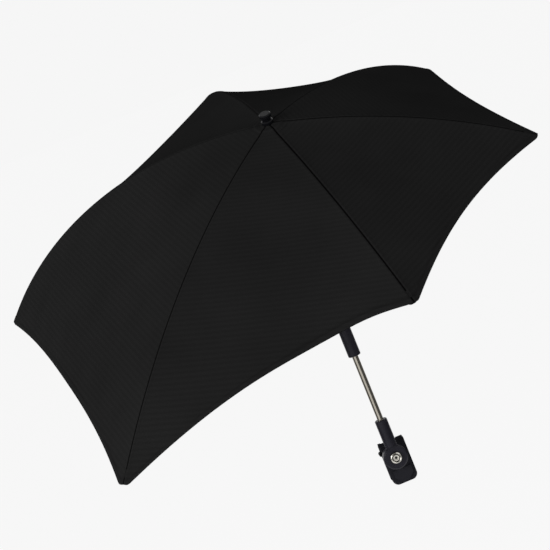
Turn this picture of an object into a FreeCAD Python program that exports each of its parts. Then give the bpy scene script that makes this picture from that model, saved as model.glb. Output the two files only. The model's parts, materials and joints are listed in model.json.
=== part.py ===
import FreeCAD, Part
import math
import os
import re
import Sketcher
from FreeCAD import Placement, Rotation, Vector

# Pram parasol: a tube clamp with a swivel, a two-piece shaft with a tilt
# knuckle, and a folding canopy of six ribs. Millimetres and degrees.
# Origin: centre of the clamp's tube bore. Z runs up the lower shaft, the
# swivel screw faces -Y, and the canopy leans towards -Y at rest.

SIZES = {
    # fits shared by the pieces
    "fit": 0.05,             # radial clearance of pins and seated pieces
    "free": 0.3,             # clearance of pieces that move past each other
    "over": 2.0,             # overrun of every cut
    # tube clamp
    "tube_dia": 18.0,
    "pad_thick": 1.5,
    "pad_tall": 40.0,
    "pad_turn": 158.0,
    "plate_left": 14.2,
    "plate_right": 19.2,
    "plate_tall": 55.5,
    "plate_front": 20.0,
    "plate_corner": 8.0,
    "plate_edge": 1.2,
    "split_half": 0.5,
    "step_wide": 25.0,
    "step_rise": 1.6,
    "step_inset": 2.2,
    "step_drop": 18.9,
    "mark_long": 4.6,
    "mark_wide": 1.2,
    "mark_rise": 0.5,
    "mark_side": 13.0,
    "mark_up": 13.4,
    "notch_tall": 11.8,
    "notch_up": 3.5,
    "notch_deep": 4.2,
    "lug_dia": 5.0,
    "lug_out": 3.0,
    "hinge_in": 2.2,
    "hinge_front": 5.0,
    "hinge_dia": 2.4,
    "hinge_long": 24.0,
    "jaw_tall": 46.0,
    "jaw_flange": 7.0,
    "jaw_back": 15.5,
    "jaw_crest": 16.0,
    "jaw_round": 2.5,
    "clamp_screw_in": 3.4,
    "clamp_screw_dia": 3.6,
    "clamp_screw_grip": 9.0,
    "clamp_head_dia": 6.4,
    "clamp_head_tall": 3.4,
    "clamp_key": 1.7,
    "jaw_hole_dia": 4.4,
    "head_room": 1.3,
    # swivel
    "bolt_up": 11.0,
    "bolt_dia": 6.0,
    "bolt_head_dia": 14.8,
    "bolt_head_tall": 3.4,
    "bolt_rim": 1.5,
    "bolt_dish": 1.0,
    "bolt_cone": 0.9,
    "bolt_key": 3.3,
    "bolt_key_deep": 2.6,
    "nut_key": 5.5,
    "nut_tall": 4.6,
    "washer_dia": 25.0,
    "washer_thick": 1.2,
    "disc_dia": 31.6,
    "disc_thick": 13.6,
    "disc_edge": 1.6,
    "socket_dia": 16.0,
    "socket_tall": 52.0,
    "socket_hold": 28.0,
    "socket_lip": 0.8,
    "socket_set": 0.6,
    # shafts and tilt knuckle
    "shaft_dia": 8.0,
    "shaft_wall": 0.9,
    "pivot_up": 197.0,
    "crown_up": 289.0,
    "tilt_rest": 24.3,
    "sleeve_dia": 16.2,
    "sleeve_down": 56.0,
    "sleeve_hold": 28.0,
    "sleeve_lip": 0.6,
    "fork_root": 10.0,
    "tongue_thick": 6.4,
    "neck_tall": 34.0,
    "neck_hold": 16.0,
    "pin_dia": 4.0,
    "pin_head_dia": 7.4,
    "pin_head_tall": 1.1,
    # crown: hub, wire ring, patch and finial
    "hinge_r": 12.0,
    "hinge_drop": 4.6,
    "ring_dia": 2.0,
    "hub_dia": 32.0,
    "hub_top": 1.8,
    "hub_tall": 11.0,
    "hub_core_dia": 17.0,
    "hub_collar_tall": 8.0,
    "hub_edge": 1.2,
    "patch_dia": 44.0,
    "patch_thick": 1.0,
    "finial_dia": 14.4,
    "finial_waist_dia": 10.6,
    "finial_low": 5.0,
    "finial_waist_tall": 3.2,
    "finial_high": 5.6,
    "finial_edge": 1.2,
    "stem_tall": 14.0,
    # runner
    "runner_dia": 26.0,
    "runner_rise": 5.0,
    "runner_slot": 29.0,
    "runner_grip_dia": 19.0,
    "runner_grip": 12.0,
    "runner_flare": 1.6,
    "slot_floor": 9.0,
    # ribs and stretchers
    "canopy_r": 380.0,
    "rib_wide": 4.0,
    "rib_thick": 3.4,
    "rib_bevel": 1.6,
    "eye_dia": 5.6,
    "joint_r": 115.0,
    "bracket_long": 6.4,
    "bracket_wide": 7.0,
    "bracket_low": 2.7,
    "rivet_dia": 2.0,
    "rivet_head_dia": 3.6,
    "rivet_head_tall": 0.8,
    "bar_wide": 2.6,
    "bar_thick": 3.0,
    "bar_eye_dia": 4.8,
    "tip_dia": 6.0,
    "tip_hold": 3.4,
    # canopy fabric
    "cloth_thick": 0.9,
    "cloth_gap": 0.25,
    "cloth_seam": 0.15,
}

# Per rib: direction about the shaft and slope at the hub in degrees, and reach
# and drop of its tip as shares of canopy_r. The photographed canopy is uneven:
# the left front is long and hangs low and the right side is short.
RIB_TURNS = [157.6, 228.4, 280.4, 339.9, 40.5, 96.8]
RIB_SLOPES = [0.7, 2.9, 9.9, 5.9, 3.1, 3.5]
RIB_REACH_SHARES = [1.09, 1.182, 0.824, 0.779, 0.807, 1.005]
RIB_DROP_SHARES = [0.55, 0.409, 0.267, 0.248, 0.32, 0.359]
# Hollow of the hem after each rib, as a share of the rib length
HEM_SHARES = [0.039, 0.059, 0.059, 0.062, 0.067, 0.096]
CLOTH_ROW_SHARES = [0.0, 0.2, 0.4, 0.6, 0.8, 1.0]
CLOTH_SIDE_SHARES = [0.0, 0.17, 0.34, 0.5]
FOLD_SWING = 58.0
RIBS = range(len(RIB_TURNS))

AXES = {
    "x": Rotation(Vector(0, 1, 0), 90),
    "y": Rotation(Vector(1, 0, 0), -90),
    "z": Rotation(),
}

doc = FreeCAD.newDocument("PramParasol")
sheet = doc.addObject("Spreadsheet::Sheet", "Dims")
finished = []


def add_size(name, value):
    """Puts one named size in the next row of the sheet."""
    SIZES[name] = value
    row = add_size.row
    sheet.set("A%d" % row, name)
    sheet.set("B%d" % row, repr(float(value)))
    sheet.setAlias("B%d" % row, name)
    add_size.row = row + 1


add_size.row = 1


def rib_arc(i):
    """Arc of rib i in its radial plane: radius, turn and centre, from hinge to tip."""
    run = SIZES["canopy_r"] * RIB_REACH_SHARES[i] - SIZES["hinge_r"]
    fall = SIZES["canopy_r"] * RIB_DROP_SHARES[i] - SIZES["hinge_drop"]
    turn = 2 * (math.degrees(math.atan2(fall, run)) - RIB_SLOPES[i])
    radius = math.hypot(run, fall) / (2 * math.sin(math.radians(turn / 2)))
    start = math.radians(RIB_SLOPES[i])
    centre_r = SIZES["hinge_r"] - radius * math.sin(start)
    centre_z = -SIZES["hinge_drop"] - radius * math.cos(start)
    return radius, turn, centre_r, centre_z


for size_name, size in list(SIZES.items()):
    add_size(size_name, size)
lowest = 0
widest = 0
for rib in RIBS:
    bend, turn, centre_r, centre_z = rib_arc(rib)
    add_size("rib%d_bend" % (rib + 1), bend)
    add_size("rib%d_turn" % (rib + 1), turn)
    add_size("rib%d_centre_r" % (rib + 1), centre_r)
    add_size("rib%d_centre_z" % (rib + 1), centre_z)
    seat = math.sqrt(bend ** 2 - (SIZES["joint_r"] - centre_r) ** 2) + centre_z
    add_size("rib%d_seat_z" % (rib + 1), seat)
    lowest = min(lowest, seat)
    widest = max(widest, (RIB_TURNS[(rib + 1) % len(RIB_TURNS)] - RIB_TURNS[rib]) % 360)
add_size("joint_drop", SIZES["rib_thick"] / 2 + SIZES["bar_eye_dia"] / 2
         + 2 * SIZES["free"] - lowest)
add_size("cloth_start", (SIZES["hub_dia"] / 2 + SIZES["free"])
         / math.cos(math.radians(widest / 2)))
add_size("plate_mid", (SIZES["plate_right"] - SIZES["plate_left"]) / 2)
link_run = SIZES["joint_r"] - SIZES["hinge_r"]
link_fall = SIZES["joint_drop"] - SIZES["hinge_drop"]
add_size("link_long", math.hypot(link_run, link_fall))
add_size("link_slope", math.degrees(math.atan2(link_fall, link_run)))
add_size("toe_drop", 2 * SIZES["joint_drop"] - SIZES["hinge_drop"])
add_size("groove_r", SIZES["tube_dia"] / 2 + SIZES["pad_thick"] + SIZES["fit"])
add_size("disc_back", SIZES["plate_front"] + SIZES["washer_thick"] + 2 * SIZES["fit"])
add_size("shaft_front", SIZES["disc_back"] + SIZES["socket_set"] + SIZES["socket_dia"] / 2)
doc.recompute()


def bind(obj, prop, formula):
    """Binds a property to a formula written with the names of the sheet."""
    obj.setExpression(prop, re.sub(r"[a-z][a-z0-9_]*", r"Dims.\g<0>", formula))


def place(obj, at, axis="z"):
    """Turns an object's Z to an axis and binds its place."""
    obj.Placement = Placement(Vector(), AXES[axis])
    for letter, formula in zip("xyz", at):
        if formula != "0":
            bind(obj, "Placement.Base." + letter, formula)
    return obj


ORIGIN = ("0", "0", "0")


def cylinder(radius, height, at=ORIGIN, axis="z"):
    obj = doc.addObject("Part::Cylinder", "Round")
    bind(obj, "Radius", radius)
    bind(obj, "Height", height)
    return place(obj, at, axis)


def box(length, width, height, at=ORIGIN):
    obj = doc.addObject("Part::Box", "Block")
    bind(obj, "Length", length)
    bind(obj, "Width", width)
    bind(obj, "Height", height)
    return place(obj, at)


def hexagon(radius, height, at=ORIGIN, axis="z"):
    obj = doc.addObject("Part::Prism", "Hex")
    obj.Polygon = 6
    bind(obj, "Circumradius", radius)
    bind(obj, "Height", height)
    return place(obj, at, axis)


def fuse(pieces):
    obj = doc.addObject("Part::MultiFuse", "Joined")
    obj.Shapes = pieces
    obj.Refine = True
    return obj


def cut(base, tools):
    obj = doc.addObject("Part::Cut", "Trimmed")
    obj.Base = base
    obj.Tool = tools[0] if len(tools) == 1 else fuse(tools)
    obj.Refine = True
    return obj


def common(pieces):
    obj = doc.addObject("Part::MultiCommon", "Shared")
    obj.Shapes = pieces
    return obj


def turned_by(obj, placement):
    """Moves a finished tool by a placement worked out from the named sizes."""
    holder = doc.addObject("Part::Compound", "Moved")
    holder.Links = [obj]
    holder.Placement = placement
    return holder


def outline(body, plane, points, offset=None):
    """Closed sketch on an origin plane of the body, each point bound to the sheet."""
    sketch = body.newObject("Sketcher::SketchObject", "Outline")
    base = [f for f in body.Origin.OriginFeatures if f.Role == plane][0]
    sketch.AttachmentSupport = [(base, "")]
    sketch.MapMode = "FlatFace"
    if offset:
        bind(sketch, "AttachmentOffset.Base.z", offset)
    count = len(points)
    ring = []
    for k in range(count + 1):
        angle = 2 * math.pi * k / count
        ring.append(Vector(math.cos(angle), math.sin(angle), 0))
    for k in range(count):
        sketch.addGeometry(Part.LineSegment(ring[k], ring[k + 1]), False)
    for k in range(count):
        sketch.addConstraint(Sketcher.Constraint("Coincident", k, 2, (k + 1) % count, 1))
    for k, (across, along) in enumerate(points):
        for kind, axis, formula in (("DistanceX", -2, across), ("DistanceY", -1, along)):
            if formula == "0":
                sketch.addConstraint(Sketcher.Constraint("PointOnObject", k, 1, axis))
                continue
            number = sketch.addConstraint(Sketcher.Constraint(kind, -1, 1, k, 1, 1.0))
            bind(sketch, "Constraints[%d]" % number, formula)
    doc.recompute()
    return sketch


def new_body():
    return doc.addObject("PartDesign::Body", "Piece")


def pad(body, plane, points, length, offset=None, middle=False):
    feature = body.newObject("PartDesign::Pad", "Pad")
    feature.Profile = outline(body, plane, points, offset)
    bind(feature, "Length", length)
    feature.Midplane = middle
    body.Tip = feature
    doc.recompute()
    return feature


def turn_profile(points, angle=None):
    """Body of revolution about Z from (radius, height) points, whole or by an angle."""
    body = new_body()
    sketch = outline(body, "XZ_Plane", points)
    feature = body.newObject("PartDesign::Revolution", "Turn")
    feature.Profile = sketch
    feature.ReferenceAxis = (sketch, ["V_Axis"])
    if angle:
        bind(feature, "Angle", angle)
    else:
        feature.Angle = 360
    body.Tip = feature
    doc.recompute()
    return body


def soften(body, radius, test, kind="PartDesign::Fillet"):
    """Rounds or bevels the edges of the body's tip whose middle passes the test."""
    tip = body.Tip
    names = []
    for number, edge in enumerate(tip.Shape.Edges, 1):
        middle = edge.valueAt((edge.FirstParameter + edge.LastParameter) / 2)
        if test(middle, edge):
            names.append("Edge%d" % number)
    feature = body.newObject(kind, "Soft")
    feature.Base = (tip, names)
    bind(feature, "Radius" if kind.endswith("Fillet") else "Size", radius)
    body.Tip = feature
    doc.recompute()
    return feature


def finish(obj, label, placement=None):
    """Names a finished sub-part and sets it in its place."""
    obj.Label = label
    if placement is not None:
        obj.Placement = placement
    finished.append(obj)
    return obj


def straight(edge, direction):
    """True for a straight edge that runs along the given direction."""
    if edge.Curve.TypeId != "Part::GeomLine":
        return False
    return abs(abs(edge.Curve.Direction.dot(direction)) - 1) < 1e-6


# Frames: the neck leans from the tilt pivot, and each rib has its own radial plane
PIVOT = Vector(0, -SIZES["shaft_front"], SIZES["bolt_up"] + SIZES["pivot_up"])
LEAN = Rotation(Vector(1, 0, 0), SIZES["tilt_rest"])
NECK_FOOT = Placement(PIVOT, LEAN)
CROWN = Placement(PIVOT + LEAN.multVec(Vector(0, 0, SIZES["crown_up"])), LEAN)


def rib_plane(i):
    return CROWN.multiply(Placement(Vector(), Rotation(Vector(0, 0, 1), RIB_TURNS[i])))


def clamp_body():
    """Front half of the clamp: moulded plate with the groove, notch and nut pocket."""
    body = new_body()
    left, right, tall = "-plate_left", "plate_right", "plate_tall / 2"
    pad(body, "XZ_Plane",
        [(left, "-" + tall), (right, "-" + tall), (right, tall), (left, tall)],
        "plate_front - split_half", "split_half")
    low = -SIZES["plate_tall"] / 2
    soften(body, "plate_corner",
           lambda mid, edge: straight(edge, Vector(0, 1, 0)) and mid.z < low + SIZES["fit"])
    face = -SIZES["plate_front"]
    soften(body, "plate_edge", lambda mid, edge: mid.y < face + SIZES["fit"])
    near, far, top = "plate_mid - step_wide / 2", "plate_mid + step_wide / 2", "bolt_up - step_drop"
    foot = "step_inset - plate_tall / 2"
    shoulder = "step_inset + plate_corner - plate_tall / 2"
    pad(body, "XZ_Plane",
        [(near, shoulder), (near + " + plate_corner", foot), (far + " - plate_corner", foot),
         (far, shoulder), (far, top), (near, top)],
        "step_rise", "plate_front")
    for sign in ("+", "-"):
        middle = "plate_mid " + sign + " mark_side"
        near, far = middle + " - mark_long / 2", middle + " + mark_long / 2"
        low_edge, high_edge = "bolt_up + mark_up", "bolt_up + mark_up + mark_wide"
        pad(body, "XZ_Plane",
            [(near, low_edge), (far, low_edge), (far, high_edge), (near, high_edge)],
            "mark_rise", "plate_front")
    notch_low = "bolt_up + notch_up - notch_tall / 2"
    tools = [
        cylinder("groove_r", "plate_tall + 2 * over", ("0", "0", "-plate_tall / 2 - over")),
        box("notch_deep + over", "plate_front + 2 * over", "notch_tall",
            ("-plate_left - over", "-plate_front - over", notch_low)),
        cylinder("hinge_dia / 2 + fit", "hinge_long",
                 ("hinge_in - plate_left", "-hinge_front",
                  "bolt_up + notch_up - hinge_long / 2")),
        cylinder("clamp_screw_dia / 2 + fit", "clamp_screw_grip + over",
                 ("plate_right - clamp_screw_in", "-clamp_screw_grip", "0"), "y"),
        cylinder("bolt_dia / 2 + fit", "plate_front + over",
                 ("0", "-plate_front - over", "bolt_up"), "y"),
        hexagon("nut_key + fit", "nut_tall + groove_r",
                ("0", "-groove_r - nut_tall", "bolt_up"), "y"),
    ]
    return finish(cut(body, tools), "clamp_body")


def clamp_jaw():
    """Rear half of the clamp, hung on the hinge pin by a round-ended lug."""
    body = new_body()
    left, right, crest = "-plate_left", "plate_right", "jaw_crest / 2"
    pad(body, "XY_Plane",
        [(left, "split_half"), (right, "split_half"), (right, "jaw_flange"),
         (crest, "jaw_back"), ("-" + crest, "jaw_back"), (left, "jaw_flange")],
        "jaw_tall", middle=True)
    soften(body, "jaw_round", lambda mid, edge:
           straight(edge, Vector(0, 0, 1)) and mid.y > SIZES["jaw_flange"] - SIZES["fit"])
    lug_low = "bolt_up + notch_up - lug_dia / 2"
    lug = fuse([
        box("lug_out + notch_deep - lug_dia / 2 - 2 * free",
            "hinge_front + lug_dia / 2 + split_half + over", "lug_dia",
            ("lug_dia / 2 - plate_left - lug_out", "-hinge_front - lug_dia / 2", lug_low)),
        cylinder("lug_dia / 2", "hinge_front + lug_dia / 2 + split_half + over",
                 ("lug_dia / 2 - plate_left - lug_out", "-hinge_front - lug_dia / 2",
                  "bolt_up + notch_up"), "y"),
    ])
    tools = [
        cylinder("groove_r", "plate_tall", ("0", "0", "-plate_tall / 2")),
        cylinder("hinge_dia / 2 + fit", "hinge_long",
                 ("hinge_in - plate_left", "-hinge_front",
                  "bolt_up + notch_up - hinge_long / 2")),
        cylinder("jaw_hole_dia / 2", "jaw_back",
                 ("plate_right - clamp_screw_in", "0", "0"), "y"),
        box("clamp_screw_in + over", "jaw_back", "jaw_hole_dia",
            ("plate_right - clamp_screw_in", "0", "-jaw_hole_dia / 2")),
        cylinder("clamp_head_dia / 2 + head_room", "jaw_back",
                 ("plate_right - clamp_screw_in", "jaw_flange", "0"), "y"),
    ]
    return finish(cut(fuse([body, lug]), tools), "clamp_jaw")


def clamp_hardware():
    """Hinge pin, rubber pads and closing screw of the clamp."""
    pin = cylinder("hinge_dia / 2", "hinge_long - 2 * fit",
                   ("hinge_in - plate_left", "-hinge_front",
                    "bolt_up + notch_up - hinge_long / 2 + fit"))
    finish(pin, "clamp_hinge_pin")
    for label, middle in (("clamp_pad_front", -90), ("clamp_pad_rear", 90)):
        shell = cylinder("groove_r - fit", "pad_tall", ("0", "0", "-pad_tall / 2"))
        bind(shell, "Angle", "pad_turn")
        hollow = cylinder("tube_dia / 2", "pad_tall + 2 * over",
                          ("0", "0", "-pad_tall / 2 - over"))
        start = middle - SIZES["pad_turn"] / 2
        spin = Placement(Vector(), Rotation(Vector(0, 0, 1), start))
        finish(cut(shell, [hollow]), label, spin)
    screw = turn_profile([
        ("0", "-clamp_screw_grip"), ("clamp_screw_dia / 2", "-clamp_screw_grip"),
        ("clamp_screw_dia / 2", "jaw_flange + fit"), ("clamp_head_dia / 2", "jaw_flange + fit"),
        ("clamp_head_dia / 2", "jaw_flange + clamp_head_tall"),
        ("0", "jaw_flange + clamp_head_tall")])
    key = hexagon("clamp_key", "clamp_head_tall",
                  ("0", "0", "jaw_flange + clamp_head_tall / 2"))
    side = SIZES["plate_right"] - SIZES["clamp_screw_in"]
    finish(cut(screw, [key]), "clamp_screw", Placement(Vector(side, 0, 0), AXES["y"]))


def swivel_hardware():
    """Chrome screw, nut and friction washer that hold the swivel on the clamp."""
    shank, head = "bolt_dia / 2", "bolt_head_dia / 2"
    rim = "bolt_head_dia / 2 - bolt_rim"
    tail = "groove_r + fit"
    seat = "disc_back + disc_thick + fit"
    crown = "disc_back + disc_thick + fit + bolt_head_tall"
    bolt = turn_profile([
        ("0", tail), (shank, tail), (shank, seat), (head, seat),
        (head, crown + " - bolt_rim"), (rim, crown),
        (rim + " - bolt_dish", crown + " - bolt_dish"),
        ("bolt_key + bolt_cone", crown + " - bolt_dish"),
        ("bolt_key + bolt_cone / 2", crown + " - bolt_dish / 2"),
        ("0", crown + " - bolt_dish / 2")])
    key = hexagon("bolt_key", "bolt_key_deep", ("0", "0", crown + " - bolt_key_deep"))
    front = Placement(Vector(0, 0, SIZES["bolt_up"]), Rotation(Vector(1, 0, 0), 90))
    finish(cut(bolt, [key]), "swivel_screw", front)
    nut = cut(hexagon("nut_key", "nut_tall - 2 * fit", ("0", "0", "groove_r + fit")),
              [cylinder("bolt_dia / 2 + fit", "groove_r + nut_tall + over")])
    finish(nut, "swivel_nut", front)
    washer = turn_profile([
        ("bolt_dia / 2 + fit", "plate_front + fit"), ("washer_dia / 2", "plate_front + fit"),
        ("washer_dia / 2", "plate_front + fit + washer_thick"),
        ("bolt_dia / 2 + fit", "plate_front + fit + washer_thick")])
    finish(washer, "swivel_washer", front)


def swivel_socket():
    """Pivot disc with the socket that takes the lower shaft."""
    disc = turn_profile([
        ("0", "disc_back"), ("disc_dia / 2", "disc_back"),
        ("disc_dia / 2", "disc_back + disc_thick - disc_edge"),
        ("disc_dia / 2 - disc_edge", "disc_back + disc_thick"), ("0", "disc_back + disc_thick")])
    disc.Placement = Placement(Vector(0, 0, SIZES["bolt_up"]), Rotation(Vector(1, 0, 0), 90))
    tube = turn_profile([
        ("0", "bolt_up"), ("socket_dia / 2", "bolt_up"),
        ("socket_dia / 2", "bolt_up + socket_tall - socket_lip"),
        ("socket_dia / 2 - socket_lip", "bolt_up + socket_tall"), ("0", "bolt_up + socket_tall")])
    tube.Placement = Placement(Vector(0, -SIZES["shaft_front"], 0), Rotation())
    tools = [
        cylinder("shaft_dia / 2 + fit", "socket_hold + over",
                 ("0", "-shaft_front", "bolt_up + socket_tall - socket_hold")),
        cylinder("bolt_dia / 2 + fit", "disc_thick + socket_dia",
                 ("0", "-disc_back - disc_thick - over", "bolt_up"), "y"),
    ]
    tools.append(cylinder("disc_dia / 2", "socket_dia",
                          ("0", "-disc_back - disc_thick - socket_dia", "bolt_up"), "y"))
    return finish(cut(fuse([disc, tube]), tools), "swivel_socket")


def lower_shaft():
    """Steel tube from the swivel socket to the knuckle sleeve."""
    low = "bolt_up + socket_tall - socket_hold + fit"
    high = "bolt_up + pivot_up - sleeve_hold - fit"
    tube = turn_profile([
        ("shaft_dia / 2 - shaft_wall", low), ("shaft_dia / 2", low),
        ("shaft_dia / 2", high), ("shaft_dia / 2 - shaft_wall", high)])
    finish(tube, "lower_shaft", Placement(Vector(0, -SIZES["shaft_front"], 0), Rotation()))


def knuckle():
    """Fork sleeve, tongue and pin of the tilt knuckle, each about the pivot."""
    sleeve = turn_profile([
        ("0", "-sleeve_down"), ("sleeve_dia / 2 - sleeve_lip", "-sleeve_down"),
        ("sleeve_dia / 2", "sleeve_lip - sleeve_down"), ("sleeve_dia / 2", "sleeve_dia / 2"),
        ("0", "sleeve_dia / 2")])
    dome = fuse([
        cylinder("sleeve_dia / 2", "sleeve_dia", ("-sleeve_dia / 2", "0", "0"), "x"),
        box("sleeve_dia", "sleeve_dia", "sleeve_down",
            ("-sleeve_dia / 2", "-sleeve_dia / 2", "-sleeve_down"))])
    slot = box("tongue_thick + 2 * free", "sleeve_dia + 2 * over", "fork_root + sleeve_dia",
               ("-tongue_thick / 2 - free", "-sleeve_dia / 2 - over", "-fork_root"))
    bore = cylinder("shaft_dia / 2 + fit", "sleeve_down - sleeve_hold + over",
                    ("0", "0", "-sleeve_down - over"))
    hole = cylinder("pin_dia / 2 + fit", "sleeve_dia + 2 * over",
                    ("-sleeve_dia / 2 - over", "0", "0"), "x")
    finish(cut(common([sleeve, dome]), [slot, bore, hole]), "knuckle_sleeve",
           Placement(PIVOT, Rotation()))

    collar = turn_profile([
        ("0", "fork_root"), ("sleeve_dia / 2", "fork_root"),
        ("sleeve_dia / 2", "neck_tall - sleeve_lip"),
        ("sleeve_dia / 2 - sleeve_lip", "neck_tall"), ("0", "neck_tall")])
    tongue = common([
        fuse([cylinder("sleeve_dia / 2", "tongue_thick", ("-tongue_thick / 2", "0", "0"), "x"),
              box("tongue_thick", "sleeve_dia", "fork_root + over",
                  ("-tongue_thick / 2", "-sleeve_dia / 2", "0"))]),
        cylinder("sleeve_dia / 2", "sleeve_dia + neck_tall", ("0", "0", "-sleeve_dia"))])
    neck_bore = cylinder("shaft_dia / 2 + fit", "neck_tall", ("0", "0", "neck_hold"))
    neck_hole = cylinder("pin_dia / 2 + fit", "sleeve_dia + 2 * over",
                         ("-sleeve_dia / 2 - over", "0", "0"), "x")
    finish(cut(fuse([collar, tongue]), [neck_bore, neck_hole]), "knuckle_neck", NECK_FOOT)

    edge = "sleeve_dia / 2 + fit"
    far = "sleeve_dia / 2 + fit + pin_head_tall"
    pin = turn_profile([
        ("0", "-sleeve_dia / 2 - fit - pin_head_tall"),
        ("pin_dia / 2", "-sleeve_dia / 2 - fit - pin_head_tall"),
        ("pin_head_dia / 2", "-sleeve_dia / 2 - fit"), ("pin_dia / 2", "-sleeve_dia / 2 - fit"),
        ("pin_dia / 2", edge), ("pin_head_dia / 2", edge), ("pin_dia / 2", far), ("0", far)])
    finish(pin, "knuckle_pin", Placement(PIVOT, AXES["x"]))


def neck_pieces():
    """Upper shaft, patch and finial on the neck, from the crown down."""
    low = "neck_hold + fit - crown_up"
    top = "-hub_top - fit"
    bore = "shaft_dia / 2 - shaft_wall"
    tube = turn_profile([(bore, low), ("shaft_dia / 2", low), ("shaft_dia / 2", top), (bore, top)])
    finish(tube, "upper_shaft", CROWN)

    under = "fit - hub_top"
    upper = "fit - hub_top + patch_thick"
    patch = turn_profile([
        ("shaft_dia / 2 - shaft_wall", under), ("patch_dia / 2", under),
        ("patch_dia / 2", upper), ("shaft_dia / 2 - shaft_wall", upper)])
    finish(patch, "crown_patch", CROWN)

    seat = upper + " + fit"
    stem = "shaft_dia / 2 - shaft_wall - fit"
    wide, waist = "finial_dia / 2", "finial_waist_dia / 2"
    first, second = seat + " + finial_low", seat + " + finial_low + finial_waist_tall"
    third = second + " + finial_high"
    finial = turn_profile([
        ("0", "-stem_tall"), (stem, "-stem_tall"), (stem, seat), (wide + " - finial_edge", seat),
        (wide, seat + " + finial_edge"), (wide, first + " - finial_edge"),
        (wide + " - finial_edge", first), (waist, first), (waist, second),
        (wide + " - finial_edge", second), (wide, second + " + finial_edge"),
        (wide, third + " - finial_edge"), (wide + " - finial_edge", third), ("0", third)])
    finish(finial, "finial", CROWN)


def radial_slots(wide, floor, outer, low, tall):
    """One slot per rib, cut from the floor radius outwards."""
    slots = []
    for i in RIBS:
        slot = box(outer, wide, tall, (floor, "-(" + wide + ") / 2", low))
        spin = Placement(Vector(), Rotation(Vector(0, 0, 1), RIB_TURNS[i]))
        slots.append(turned_by(slot, spin))
    return slots


def torus(thickness):
    obj = doc.addObject("Part::Torus", "Ring")
    bind(obj, "Radius1", "hinge_r")
    bind(obj, "Radius2", thickness)
    return place(obj, ("0", "0", "-hinge_drop"))


def crown_hub():
    """Notched hub: the ribs' eyes sit in its slots on a wire ring."""
    low = "-hub_top - hub_tall"
    hub = turn_profile([
        ("shaft_dia / 2 + fit", "-hub_top"), ("hub_dia / 2 - hub_edge", "-hub_top"),
        ("hub_dia / 2", "-hub_top - hub_edge"), ("hub_dia / 2", low + " + hub_edge"),
        ("hub_dia / 2 - hub_edge", low), ("hub_core_dia / 2", low),
        ("hub_core_dia / 2", low + " - hub_collar_tall"),
        ("shaft_dia / 2 + fit", low + " - hub_collar_tall")])
    slots = radial_slots("rib_wide + 2 * free", "hub_core_dia / 2", "hub_dia",
                         low + " - over", "hub_tall + 2 * over")
    finish(cut(hub, slots + [torus("ring_dia / 2 + fit")]), "crown_hub", CROWN)
    finish(turned_by(torus("ring_dia / 2"), CROWN), "crown_ring")


def runner():
    """Sliding collar: the stretchers' toes ride in its slots, above a finger grip."""
    top = "runner_rise - toe_drop"
    waist = "runner_rise - runner_slot - toe_drop"
    low = "runner_rise - runner_slot - runner_grip - toe_drop"
    bore = "shaft_dia / 2 + fit"
    collar = turn_profile([
        (bore, top), ("runner_dia / 2", top), ("runner_dia / 2", waist),
        ("runner_grip_dia / 2", waist + " - runner_flare"),
        ("runner_grip_dia / 2 - runner_flare", waist + " - runner_grip / 2"),
        ("runner_grip_dia / 2", low + " + runner_flare"),
        ("runner_grip_dia / 2 - runner_flare", low), (bore, low)])
    slots = radial_slots("bar_wide + 2 * free", "slot_floor", "runner_dia",
                         waist + " + runner_flare", "runner_slot + over")
    finish(cut(collar, slots), "runner", CROWN)


def rib_piece(i):
    """Curved rib with its hinge eye and the bracket that carries the stretcher."""
    name = "rib%d_" % (i + 1)
    inner, outer = name + "bend - rib_thick / 2", name + "bend + rib_thick / 2"
    side, crest = "rib_wide / 2", "rib_wide / 2 - rib_bevel"
    strip = turn_profile([
        (inner, "-" + side), (outer + " - rib_bevel", "-" + side),
        (outer, "rib_bevel - rib_wide / 2"), (outer, crest),
        (outer + " - rib_bevel", side), (inner, side)], name + "turn")
    start = math.radians(RIB_SLOPES[i])
    out, up = Vector(math.sin(start), 0, math.cos(start)), Vector(0, 1, 0)
    frame = Rotation(out, up.cross(out), up, "ZXY")
    centre = Vector(SIZES[name + "centre_r"], 0, SIZES[name + "centre_z"])
    strip.Placement = Placement(centre, frame)
    half = "-rib_wide / 2"
    eye = cylinder("eye_dia / 2", "rib_wide", ("hinge_r", half, "-hinge_drop"), "y")
    bracket = box("bracket_long", "bracket_wide", name + "seat_z + joint_drop + bracket_low",
                  ("joint_r - bracket_long / 2", "-bracket_wide / 2", "-joint_drop - bracket_low"))
    clear = "bar_eye_dia / 2 + free"
    tools = [
        cylinder("ring_dia / 2 + 4 * fit", "rib_wide + 2 * over",
                 ("hinge_r", half + " - over", "-hinge_drop"), "y"),
        box("bracket_long + 2 * over", "bar_wide + 2 * free", "bracket_low + over + " + clear,
            ("joint_r - bracket_long / 2 - over", "-bar_wide / 2 - free",
             "-joint_drop - bracket_low - over")),
        cylinder("rivet_dia / 2 + fit", "bracket_wide + 2 * over",
                 ("joint_r", "-bracket_wide / 2 - over", "-joint_drop"), "y"),
    ]
    finish(cut(fuse([strip, eye, bracket]), tools), "rib_%d" % (i + 1), rib_plane(i))


def stretcher_piece(i):
    """Straight bar from the rib's bracket to its slot in the runner."""
    wide = "-bar_wide / 2"
    bar = fuse([
        box("link_long", "bar_wide", "bar_thick", ("0", wide, "-bar_thick / 2")),
        cylinder("bar_eye_dia / 2", "bar_wide", ("0", wide, "0"), "y"),
        cylinder("bar_eye_dia / 2", "bar_wide", ("link_long", wide, "0"), "y")])
    hole = cylinder("rivet_dia / 2 + fit", "bar_wide + 2 * over", ("0", wide + " - over", "0"), "y")
    joint = Vector(SIZES["joint_r"], 0, -SIZES["joint_drop"])
    swing = Rotation(Vector(0, 1, 0), 180 - SIZES["link_slope"])
    finish(cut(bar, [hole]), "stretcher_%d" % (i + 1),
           rib_plane(i).multiply(Placement(joint, swing)))


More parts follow.
